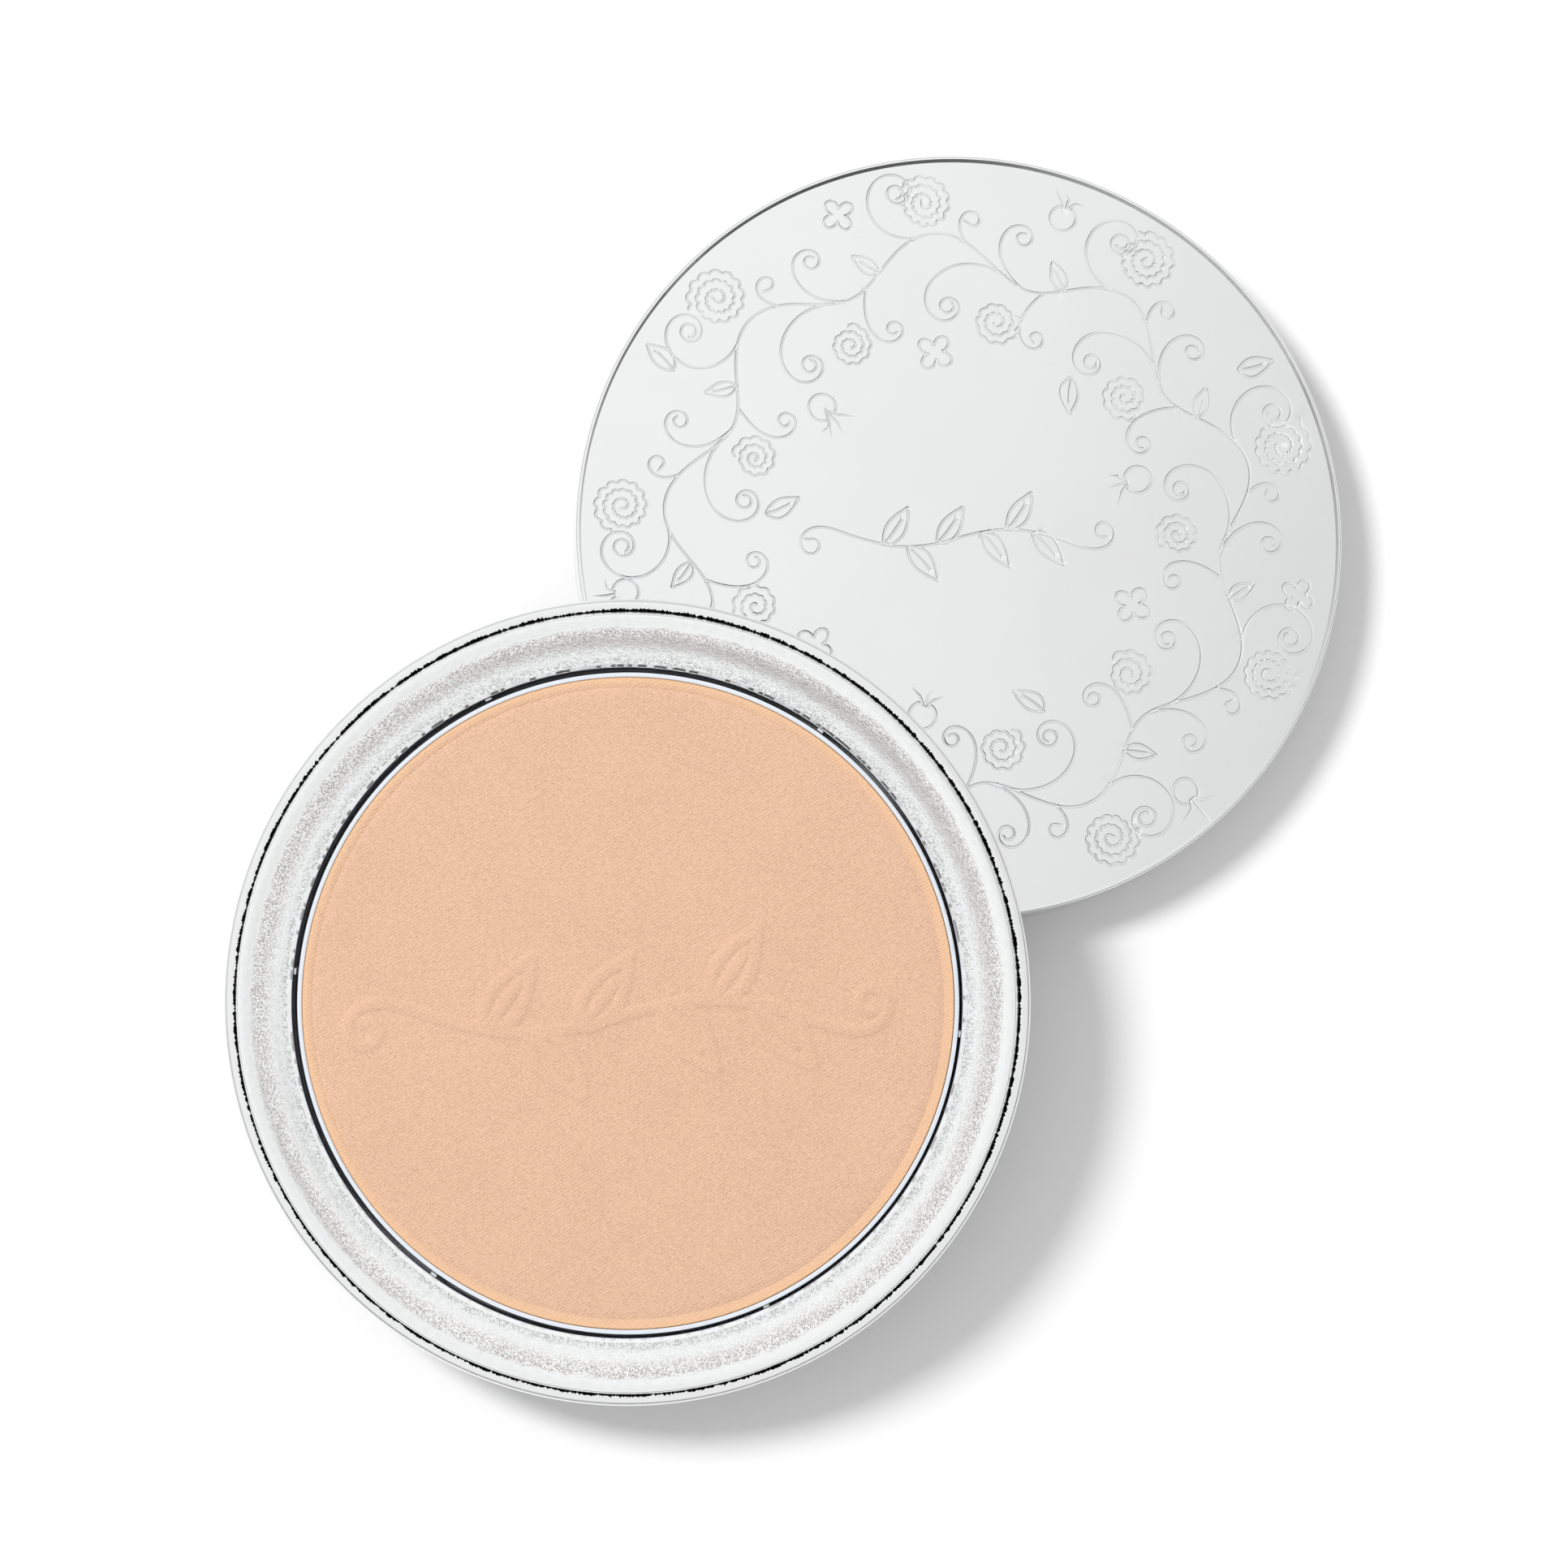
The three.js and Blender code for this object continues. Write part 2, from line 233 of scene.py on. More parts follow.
def arc(centre_radius, centre_height, radius, start, end, steps=6):
    angles = np.radians(np.linspace(start, end, steps + 1))
    return [(centre_radius + radius * math.cos(a), centre_height + radius * math.sin(a)) for a in angles]


def rounded(outline, radius, steps=4):
    """The same closed outline with a round corner of up to that radius at each of its points."""
    result = []
    count = len(outline)
    for i, corner in enumerate(outline):
        corner = np.array(corner, float)
        before, after = np.array(outline[i - 1], float), np.array(outline[(i + 1) % count], float)
        reach_before = min(radius, np.linalg.norm(before - corner) * 0.45)
        reach_after = min(radius, np.linalg.norm(after - corner) * 0.45)
        start = corner + (before - corner) / np.linalg.norm(before - corner) * reach_before
        end = corner + (after - corner) / np.linalg.norm(after - corner) * reach_after
        for t in np.linspace(0, 1, steps + 1):
            result.append(tuple(start * (1 - t) ** 2 + corner * 2 * t * (1 - t) + end * t**2))
    return result


# Meshes


def band(near, far):
    """Faces between two rings of vertex numbers. A ring of one vertex is a pole."""
    if len(near) == 1:
        near = np.full(len(far), near[0])
        return np.stack((near, np.roll(far, -1), far), 1).tolist()
    if len(far) == 1:
        far = np.full(len(near), far[0])
        return np.stack((near, np.roll(near, -1), far), 1).tolist()
    return np.stack((near, np.roll(near, -1), np.roll(far, -1), far), 1).tolist()


def turned(outline, segments=SEGMENTS, closed=True):
    """Points, faces and the last ring of an outline turned about z, material on the outline's left.
    An outline that starts and ends on the axis needs no closing."""
    angles = np.arange(segments) * TAU / segments
    around = np.stack((np.cos(angles), np.sin(angles)), 1)
    points, rings, count = [], [], 0
    for radius, height in outline:
        size = segments if radius > 1e-6 else 1
        ring = np.full((size, 3), float(height))
        ring[:, :2] = around[:size] * radius
        points.append(ring)
        rings.append(count + np.arange(size))
        count += size
    faces = []
    for near, far in zip(rings, rings[1:]):
        faces += band(near, far)
    if closed and len(rings[0]) > 1:
        faces += band(rings[-1], rings[0])
    return np.vstack(points), faces, rings[-1]


def nearest_distance(points, curves):
    """Distance from each point to the nearest of the curves."""
    samples = np.vstack(curves)
    owner = np.concatenate([np.full(len(curve), i) for i, curve in enumerate(curves)])
    tree = KDTree(len(samples))
    for i, (x, y) in enumerate(samples):
        tree.insert((x, y, 0), i)
    tree.balance()
    nearest = np.array([tree.find((x, y, 0))[1] for x, y in points])
    best = np.linalg.norm(points - samples[nearest], axis=1)
    for step in (-1, 1):
        other = np.clip(nearest + step, 0, len(samples) - 1)
        start = samples[nearest]
        along = np.where((owner[other] == owner[nearest])[:, None], samples[other] - start, 0)
        length = np.maximum((along**2).sum(1), 1e-12)
        share = np.clip(((points - start) * along).sum(1) / length, 0, 1)
        best = np.minimum(best, np.linalg.norm(points - start - along * share[:, None], axis=1))
    return best


def relief_disc(radius, segments, curves, rows, fill):
    """A flat disc with rows of points at set distances from curves and a coarse fill elsewhere.
    Returns its points, its triangles, the numbers of its edge points and each point's distance
    to the nearest curve."""
    angles = np.arange(segments) * TAU / segments
    edge = np.stack((np.cos(angles), np.sin(angles)), 1) * radius
    parts = []
    for curve in curves:
        ahead = np.gradient(curve, axis=0)
        ahead /= np.linalg.norm(ahead, axis=1)[:, None]
        aside = np.stack((-ahead[:, 1], ahead[:, 0]), 1)
        parts += [curve + aside * offset for row in rows for offset in {row, -row}]
    close = np.vstack(parts)
    cells = np.round(close / WELD).astype(int)
    close = close[np.sort(np.unique(cells, axis=0, return_index=True)[1])]
    lines = np.arange(-radius, radius, fill * 0.866)  # rows of even triangles
    columns = np.arange(-radius, radius, fill)
    shifts = (np.arange(len(lines)) % 2) * fill / 2
    grid = np.array([(x + shift, y) for y, shift in zip(lines, shifts) for x in columns])
    grid = grid[nearest_distance(grid, curves) > rows[-1] + fill * 0.4]
    inner = np.vstack((close, grid))
    inner = inner[np.linalg.norm(inner, axis=1) < radius - RELIEF_MARGIN]
    given = np.vstack((edge, inner))
    found = delaunay_2d_cdt([Vector(p) for p in given.tolist()], [], [], 0, 1e-5, True)
    points = np.array([tuple(p) for p in found[0]])
    number = {source: i for i, sources in enumerate(found[3]) for source in sources}
    rim = np.array([number[i] for i in range(segments)])
    return points, found[2], rim, nearest_distance(points, curves)


def capped(outline, segments, curves, rows, fill, height_at):
    """A turned outline whose last ring is closed by a relief disc. height_at gives the disc's height
    above that ring from its points and their distances to the nearest curve."""
    points, faces, last = turned(outline, segments, closed=False)
    radius, top = outline[-1]
    disc, triangles, rim, distance = relief_disc(radius, segments, curves, rows, fill)
    number = np.arange(len(disc)) + len(points)
    number[rim] = last
    raised = np.column_stack((disc, top + height_at(disc, distance)))
    keep = np.ones(len(disc), bool)
    keep[rim] = False
    compact = np.cumsum(keep) - 1 + len(points)
    number[keep] = compact[keep]
    faces += [[int(number[i]) for i in triangle] for triangle in triangles]
    return np.vstack((points, raised[keep])), faces


def piece(half, name, node, points, faces, materials, sharp=SHARP_ANGLE, paint=None):
    """A piece that stands for a CAD node. Its edges are sharp from that angle on. paint gives a
    face's material from its radius and height."""
    mesh = bpy.data.meshes.new(name)
    mesh.from_pydata((np.asarray(points) * MM).tolist(), [], faces)
    mesh.shade_smooth()
    mesh.set_sharp_from_angle(angle=math.radians(sharp))
    for material in materials:
        mesh.materials.append(material)
    if paint:
        centres = np.empty(len(mesh.polygons) * 3)
        mesh.polygons.foreach_get("center", centres)
        x, y, z = centres.reshape(-1, 3).T / MM
        mesh.polygons.foreach_set("material_index", paint(np.hypot(x, y), z).astype(np.int32))
    thing = bpy.data.objects.new(name, mesh)
    bpy.context.scene.collection.objects.link(thing)
    thing.matrix_world = half.matrix
    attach(thing, half.body)
    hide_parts(node)


# Ornament: plane curves of the lid's and the powder's decoration


def polar(radius, degrees):
    angle = math.radians(degrees)
    return np.array((radius * math.cos(angle), radius * math.sin(angle)))


def scroll(start, heading, length, bend, curl, power=2.0):
    """A stem that leaves start along heading and winds up: its curvature goes from bend to curl."""
    steps = max(8, int(length / CURVE_STEP))
    share = (np.arange(steps) + 0.5) / steps
    turn = np.cumsum(bend + (curl - bend) * share**power) * length / steps
    angle = math.radians(heading) + turn
    moves = np.stack((np.cos(angle), np.sin(angle)), 1) * length / steps
    return np.vstack((start, start + np.cumsum(moves, 0)))


def rose(centre, radius, turns, scallops, start):
    """A bloom drawn as one spiral with a scalloped edge."""
    angle = np.linspace(0.2 * TAU, turns * TAU, int(turns * TAU * radius * 0.6 / CURVE_STEP))
    share = angle / angle[-1]
    wave = np.abs(np.sin(angle * scallops / 2)) - 0.6
    reach = radius * (share**0.9 + 0.13 * share * wave)
    angle = angle + math.radians(start)
    return centre + np.stack((np.cos(angle), np.sin(angle)), 1) * reach[:, None]


def blossom(centre, radius, petals, start):
    angle = np.linspace(0, TAU, int(TAU * radius * 1.4 / CURVE_STEP))
    reach = radius * (0.34 + 0.66 * np.abs(np.cos(angle * petals / 2)) ** 0.9)
    angle = angle + math.radians(start)
    return centre + np.stack((np.cos(angle), np.sin(angle)), 1) * reach[:, None]


def leaf(base, heading, length, width, bend):
    """Two edges from base to tip and most of a midrib, all bent one way."""
    share = np.linspace(0, 1, int(length / CURVE_STEP))
    along = polar(1, heading)
    across = polar(1, heading + 90)
    drift = bend * share**2
    swell = width / 2 * np.sin(math.pi * share**0.8)
    edges = [
        base + np.outer(share * length, along) + np.outer(drift + side * swell, across) for side in (-1, 1)
    ]
    rib = base + np.outer(share * length, along) + np.outer(drift, across)
    return edges + [rib[: int(len(rib) * 0.7)]]


def berry(centre, radius, heading):
    ring = np.linspace(0.08, 0.92, int(TAU * radius / CURVE_STEP)) * TAU + math.radians(heading)
    curves = [centre + radius * np.stack((np.cos(ring), np.sin(ring)), 1)]
    for spread in (-28, 0, 28):
        crown = centre + polar(radius * 0.8, heading + spread * 0.5)
        curves.append(scroll(crown, heading + spread, radius * 0.75, 0, spread / 20))
    return curves


def wreath():
    """Vine scrolls round the lid: one waving stem, curls in its hollows, and flowers between them."""
    chance = np.random.default_rng(WREATH_SEED)
    waves, middle, height = 9, 25.9, 2.1
    period = 360 / waves

    def stem(degrees):
        sway = math.sin(math.radians(degrees * waves)) + 0.25 * math.sin(math.radians(degrees * 3 + 40))
        return polar(middle + height * sway, degrees)

    def branch(degrees, turn_off, *shape):
        ahead = stem(degrees + 0.1) - stem(degrees - 0.1)
        return scroll(stem(degrees), math.degrees(math.atan2(ahead[1], ahead[0])) + turn_off, *shape)

    curves = [np.array([stem(degrees) for degrees in np.arange(0, 360.1, 0.3)])]
    for i in range(waves):
        start = i * period
        crest, trough = start + period / 4, start + 3 * period / 4
        sway = chance.uniform(-1, 1, 10)
        # Where each curl leaves the stem, its turn off it and its shape, as scroll takes it
        curves.append(branch(start - 4.4 + 0.7 * sway[0], 8, 19 + 0.7 * sway[0], 0.18, 2.0, 2.9))
        curves.append(branch(start + period / 2 - 6 + sway[1], -6, 20.5 + sway[1], -0.26, -1.8, 2.9))
        curves.append(branch(crest - 6, -28, 6.2 + 0.5 * sway[2], -0.1, -2.0, 1.2))
        curves.append(branch(trough - 4, 34, 11.5 + sway[3], 0.1, 2.2, 2.2))
        curves.append(branch(trough + 1, -12, 13.5 + sway[6], -0.17, -2.1, 2.5))
        # Blooms, leaves and berries in the hollows inside and outside the stem
        curves.append(rose(polar(31.4, crest + 1.2), 2.7 + 0.2 * sway[4], 3.1, 13, 50 * i))
        curves.append(rose(polar(20.3, trough + 5.5), 2.1 + 0.15 * sway[5], 2.7, 10, 80 * i))
        curves += leaf(stem(trough - 8), crest + 65, 3.0, 1.4, -0.4)
        outer = trough - 3.6 + sway[7]
        if i % 3 == 0:
            curves.append(blossom(polar(17.2, crest + 3), 1.75, 4, 30 * i))
            curves.append(blossom(polar(32.0, outer), 1.6, 4, 25 * i))
        elif i % 3 == 1:
            curves += berry(polar(17.4, crest + 3), 1.25, crest + 180)
            curves += leaf(polar(30.6, outer), outer - 25, 3.4, 1.8, 0.6)
        else:
            curves += leaf(polar(18.2, crest), crest + 200, 3.4, 1.7, 0.7)
            curves += berry(polar(31.6, outer), 1.2, outer)
    return curves


def sprig(length, leaf_length, curl_length):
    """A waving stem along x with a curl at each end and leaves along it."""
    x = np.linspace(-length / 2, length / 2, int(length / CURVE_STEP))
    wave = length * 0.045
    stem = np.stack((x, wave * np.sin(x * TAU / length)), 1)
    slope = math.degrees(math.atan2(-wave * TAU, length))
    curves = [stem]
    for side, heading in ((1, slope), (-1, 180 + slope)):
        curves.append(scroll(stem[-1 if side > 0 else 0], heading, curl_length, -0.5 / leaf_length,
                             9 / curl_length * 1.9, 1.3))
    for share, lean in ((-0.36, 50), (-0.24, -42), (-0.1, 48), (0.12, -44), (0.25, 50), (0.37, -40)):
        at = stem[int((share + 0.5) * (len(stem) - 1))]
        curves += leaf(at, lean, leaf_length, leaf_length * 0.42, math.copysign(leaf_length * 0.12, lean))
    return curves


def moved(curves, x, y, heading):
    """The same curves with their x axis along heading and their origin at x, y."""
    along, across = polar(1, heading), polar(1, heading + 90)
    return [np.outer(curve[:, 0], along) + np.outer(curve[:, 1], across) + (x, y) for curve in curves]


# Materials. Texture coordinates are each piece's own, in metres.


def add(tree, kind, inputs=(), **settings):
    """A new node with its settings, and its inputs as values or as links from other nodes' outputs."""
    node = tree.nodes.new(kind)
    for name, value in settings.items():
        setattr(node, name, value)
    for socket, value in dict(inputs).items():
        if isinstance(value, bpy.types.NodeSocket):
            tree.links.new(value, node.inputs[socket])
        else:
            node.inputs[socket].default_value = value
    return node


def new_material(name, **constants):
    material = bpy.data.materials.new(name)
    material.use_nodes = True
    tree = material.node_tree
    shader = tree.nodes["Principled BSDF"]
    for socket, value in constants.items():
        shader.inputs[socket.replace("_", " ")].default_value = value
    return material, tree, shader


def own_place(tree):
    return add(tree, "ShaderNodeTexCoord").outputs["Object"]


def noise(tree, place, size, detail=2.0, roughness=0.5):
    """Noise whose features are about size millimetres across, as a value near 0.5."""
    values = {"Vector": place, "Scale": 1 / (size * MM), "Detail": detail, "Roughness": roughness}
    return add(tree, "ShaderNodeTexNoise", values).outputs["Fac"]


def math_node(tree, operation, first, second=0.0):
    return add(tree, "ShaderNodeMath", {0: first, 1: second}, operation=operation).outputs[0]


def between(tree, value, low, high, start=0.3, end=0.7):
    """Value stretched from start..end to low..high."""
    values = {"Value": value, "From Min": start, "From Max": end, "To Min": low, "To Max": high}
    return add(tree, "ShaderNodeMapRange", values).outputs["Result"]


def ramp(tree, value, *stops):
    node = add(tree, "ShaderNodeValToRGB", {"Fac": value})
    elements = node.color_ramp.elements
    while len(elements) < len(stops):
        elements.new(0.5)
    for element, (position, colour) in zip(elements, stops):
        element.position = position
        element.color = (*colour, 1)
    return node.outputs["Color"]


def reach_from_axis(tree, place, wander, size):
    """Distance from the half's axis, made uneven by up to about wander millimetres."""
    flat = add(tree, "ShaderNodeVectorMath", {0: place, 1: (1, 1, 0)}, operation="MULTIPLY").outputs[0]
    reach = add(tree, "ShaderNodeVectorMath", {0: flat}, operation="LENGTH").outputs["Value"]
    uneven = math_node(tree, "SUBTRACT", noise(tree, place, size, 3.0), 0.5)
    return math_node(tree, "ADD", reach, math_node(tree, "MULTIPLY", uneven, 2 * wander * MM))


def bump(tree, height, depth, before=None):
    """A bump of that depth in millimetres, on top of another bump."""
    values = {"Height": height, "Distance": depth * MM, "Strength": 1.0}
    if before:
        values["Normal"] = before
    return add(tree, "ShaderNodeBump", values).outputs["Normal"]


def drawn_round(tree, place, turns):
    """A place whose features come out longer round the axis than across: turns sets how many of
    them fit in a radian at 1 mm size."""
    parts = add(tree, "ShaderNodeSeparateXYZ", {0: place}).outputs
    flat = add(tree, "ShaderNodeCombineXYZ", {0: parts[0], 1: parts[1]}).outputs[0]
    radius = add(tree, "ShaderNodeVectorMath", {0: flat}, operation="LENGTH").outputs["Value"]
    unit = add(tree, "ShaderNodeVectorMath", {0: flat}, operation="NORMALIZE").outputs["Vector"]
    unit_parts = add(tree, "ShaderNodeSeparateXYZ", {0: unit}).outputs
    across = math_node(tree, "ADD", radius, math_node(tree, "MULTIPLY", parts[2], -1.0))
    scaled = [math_node(tree, "MULTIPLY", unit_parts[i], turns * MM) for i in (0, 1)]
    return add(tree, "ShaderNodeCombineXYZ", {0: scaled[0], 1: scaled[1], 2: across}).outputs[0]


def link(tree, shader, **sockets):
    for socket, output in sockets.items():
        tree.links.new(output, shader.inputs[socket.replace("_", " ")])


def satin_aluminium(name, roughness):
    material, tree, shader = new_material(name, Metallic=1.0)
    place = own_place(tree)
    link(tree, shader,
         Base_Color=ramp(tree, noise(tree, place, 9.0, 3.0),
                         (0.35, (0.885, 0.888, 0.892)), (0.65, (0.9, 0.903, 0.907))),
         Roughness=between(tree, noise(tree, place, 0.4, 3.0), roughness - 0.01, roughness + 0.02),
         Normal=bump(tree, noise(tree, place, 0.16, 3.0, 0.6), 0.003))
    return material


def grained_aluminium():
    """Bright metal that is smooth on the neck and has the orange-peel grain of deep drawing inside it."""
    material, tree, shader = new_material("grained_aluminium", Metallic=1.0)
    place = own_place(tree)
    inner_edge = WELL_RADIUS + LIP_WIDTH
    across = between(tree, reach_from_axis(tree, place, 0.4, 1.1), 0.0, 1.0,
                     inner_edge * MM, (SLOPE_OUTER_RADIUS + 0.3) * MM)
    strength = ramp(tree, across, *((at, (share,) * 3) for at, share in GRAIN_STRENGTH))
    lip = between(tree, reach_from_axis(tree, place, 0.02, 0.5), 0.0, 1.0,
                  inner_edge * MM, (inner_edge + 0.08) * MM)
    pebbles = between(tree, noise(tree, place, 0.17, 2.0, 0.6), 0.0, 1.0, 0.5, 0.74)
    streaks = noise(tree, drawn_round(tree, place, 8), 0.15, 3.0, 0.6)
    both = math_node(tree, "ADD", pebbles, math_node(tree, "MULTIPLY", streaks, 0.35))
    both = math_node(tree, "SUBTRACT", both, 0.3)
    grained = math_node(tree, "MULTIPLY", strength, lip)
    link(tree, shader,
         Base_Color=ramp(tree, streaks, (0.3, (0.88, 0.885, 0.888)), (0.6, (0.935, 0.94, 0.944))),
         Roughness=between(tree, noise(tree, place, 0.5), 0.16, 0.24),
         Normal=bump(tree, math_node(tree, "MULTIPLY", both, grained), 0.075))
    return material


def pan_aluminium():
    material, tree, shader = new_material("pan_aluminium", Metallic=1.0)
    rubbed = noise(tree, drawn_round(tree, own_place(tree), 4), 0.12, 3.0)
    link(tree, shader,
         Base_Color=ramp(tree, rubbed, (0.3, (0.84, 0.9, 1.0)), (0.7, (0.92, 0.96, 1.0))),
         Roughness=between(tree, rubbed, 0.12, 0.26),
         Normal=bump(tree, rubbed, 0.004))
    return material


def painted_groove_shade():
    """Painted shade: near-black matt paint that stands in for the deep shade inside the groove between the
    shell and the neck.
    """
    material, tree, shader = new_material("groove_painted_shade", Metallic=0.0)
    place = own_place(tree)
    link(tree, shader,
         Base_Color=ramp(tree, noise(tree, place, 0.5),
                         (0.3, (0.004, 0.004, 0.004)), (0.8, (0.02, 0.02, 0.02))),
         Roughness=between(tree, noise(tree, place, 0.3), 0.6, 0.9),
         Normal=bump(tree, noise(tree, place, 0.2), 0.02))
    return material


def pressed_powder_material(radius):
    """Fine matt grain with the weave of the pressing cloth, warmer at the rim."""
    material, tree, shader = new_material("pressed_powder", Metallic=0.0)
    shader.inputs["Roughness"].default_value = 0.95
    shader.inputs["Specular IOR Level"].default_value = 0.15
    place = own_place(tree)
    grain = noise(tree, place, 0.2, 4.0, 0.8)
    speck = noise(tree, place, 0.1, 1.0)
    mottled = math_node(tree, "ADD", math_node(tree, "MULTIPLY", grain, 0.92),
                        math_node(tree, "MULTIPLY", noise(tree, place, 7.0, 2.0), 0.08))
    body = ramp(tree, mottled, (0.36, (0.49, 0.31, 0.21)), (0.5, (0.59, 0.378, 0.262)),
                (0.64, (0.66, 0.43, 0.305)))
    rim = between(tree, reach_from_axis(tree, place, 0.25, 1.6), 0.0, 0.75,
                  (radius - 1.1) * MM, (radius - 0.1) * MM)
    colour = add(tree, "ShaderNodeMix", {0: rim, 6: body, 7: (0.68, 0.43, 0.255, 1)}, data_type="RGBA")
    across_weave = add(tree, "ShaderNodeMapping", {
        "Vector": place, "Rotation": (0, 0, math.radians(PICTURE_TURN - 120))}).outputs[0]
    cloth = add(tree, "ShaderNodeTexWave", {
        "Vector": across_weave, "Scale": 0.05 / (0.3 * MM) * TAU, "Distortion": 0.8, "Detail": 2.0,
        "Detail Scale": 1.5}, bands_direction="Y").outputs["Fac"]
    link(tree, shader,
         Base_Color=colour.outputs[2],
         Normal=bump(tree, grain, 0.06, bump(tree, speck, 0.03, bump(tree, cloth, 0.014))))
    return material


def moulded_plastic(name, colour, roughness):
    material, tree, shader = new_material(name, Metallic=0.0)
    place = own_place(tree)
    darker = tuple(c * 0.93 for c in colour)
    link(tree, shader,
         Base_Color=ramp(tree, noise(tree, place, 4.0, 3.0), (0.35, darker), (0.65, colour)),
         Roughness=between(tree, noise(tree, place, 0.5), roughness - 0.06, roughness + 0.08),
         Normal=bump(tree, noise(tree, place, 0.25, 2.0), 0.004))
    return material


def mirror_glass():
    material, tree, shader = new_material("mirror_glass", Metallic=1.0)
    place = own_place(tree)
    link(tree, shader,
         Base_Color=ramp(tree, noise(tree, place, 12.0), (0.3, (0.86, 0.9, 0.91)), (0.7, (0.9, 0.93, 0.94))),
         Roughness=between(tree, noise(tree, place, 5.0, 4.0), 0.01, 0.035))
    return material


def fibrous_paper(name, colour, depth):
    material, tree, shader = new_material(name, Metallic=0.0)
    place = own_place(tree)
    fibres = noise(tree, place, 0.35, 4.0, 0.7)
    darker = tuple(c * 0.9 for c in colour)
    link(tree, shader,
         Base_Color=ramp(tree, fibres, (0.35, darker), (0.6, colour)),
         Roughness=between(tree, fibres, 0.6, 0.85),
         Normal=bump(tree, fibres, depth))
    return material


# Base pieces


def ragged(chance, count):
    """Random heights round a ring, jagged from one to the next and also over longer stretches."""
    rough = chance.normal(size=count)
    around = np.tile(chance.normal(size=count), 3)
    broad = np.convolve(around, np.hanning(8) / 1.7, "same")[count : 2 * count]
    return 0.75 * rough + 0.5 * broad


def base_shell(material, groove_shade_paint):
    radius, _, shoulder = BASE.measure("base_shell")
    flat, bead = radius - FOOT_START, radius - BEAD_RADIUS
    inner = radius - SHOULDER_WIDTH
    well = inner + BEAD_INNER_RADIUS
    outline = [(0, RECESS_DEPTH), (RECESS_RADIUS, RECESS_DEPTH), (RECESS_RADIUS + RECESS_DEPTH, 0)]
    outline += arc(flat, FOOT_RADIUS, FOOT_RADIUS, -90, -SIDE_DRAFT, 10)
    outline += arc(bead, shoulder - BEAD_RADIUS, BEAD_RADIUS, 0, 90, 10)
    outline += arc(well, shoulder - BEAD_INNER_RADIUS, BEAD_INNER_RADIUS, 90, 180, 5)
    outline += [(inner, shoulder - SHELL_WALL)]
    outline += arc(flat, FOOT_RADIUS, FOOT_RADIUS - SHELL_WALL, -SIDE_DRAFT, -90, 6)
    outline += [(0, SHELL_WALL)]
    points, faces, _ = turned(outline, RAGGED_SEGMENTS)
    # The edge of the groove is torn, as a rolled edge of thin metal is.
    chance = np.random.default_rng(SHELL_SEED)
    torn = RAGGEDNESS * ragged(chance, RAGGED_SEGMENTS) + GROOVE_WIDENING
    reach = np.hypot(points[:, 0], points[:, 1])
    edge = (reach > inner - TOLERANCE) & (reach < well + TOLERANCE)
    edge &= points[:, 2] > shoulder - SHELL_WALL - TOLERANCE
    turn = np.arctan2(points[:, 1], points[:, 0]) / TAU * RAGGED_SEGMENTS
    shift = torn[np.round(turn[edge]).astype(int) % RAGGED_SEGMENTS]
    points[edge, :2] *= (1 + np.clip(shift, *SHELL_TEAR_LIMITS) / reach[edge])[:, None]
    # Painted shade: faces in the groove and on the shell's hidden inside get the near-black groove paint
    inside = lambda r, z: (r < inner + PAINTED_SHADE_REACH) & (z > FOOT_RADIUS)
    piece(BASE, "shell", "base_shell", points, faces, [material, groove_shade_paint],
          paint=inside)


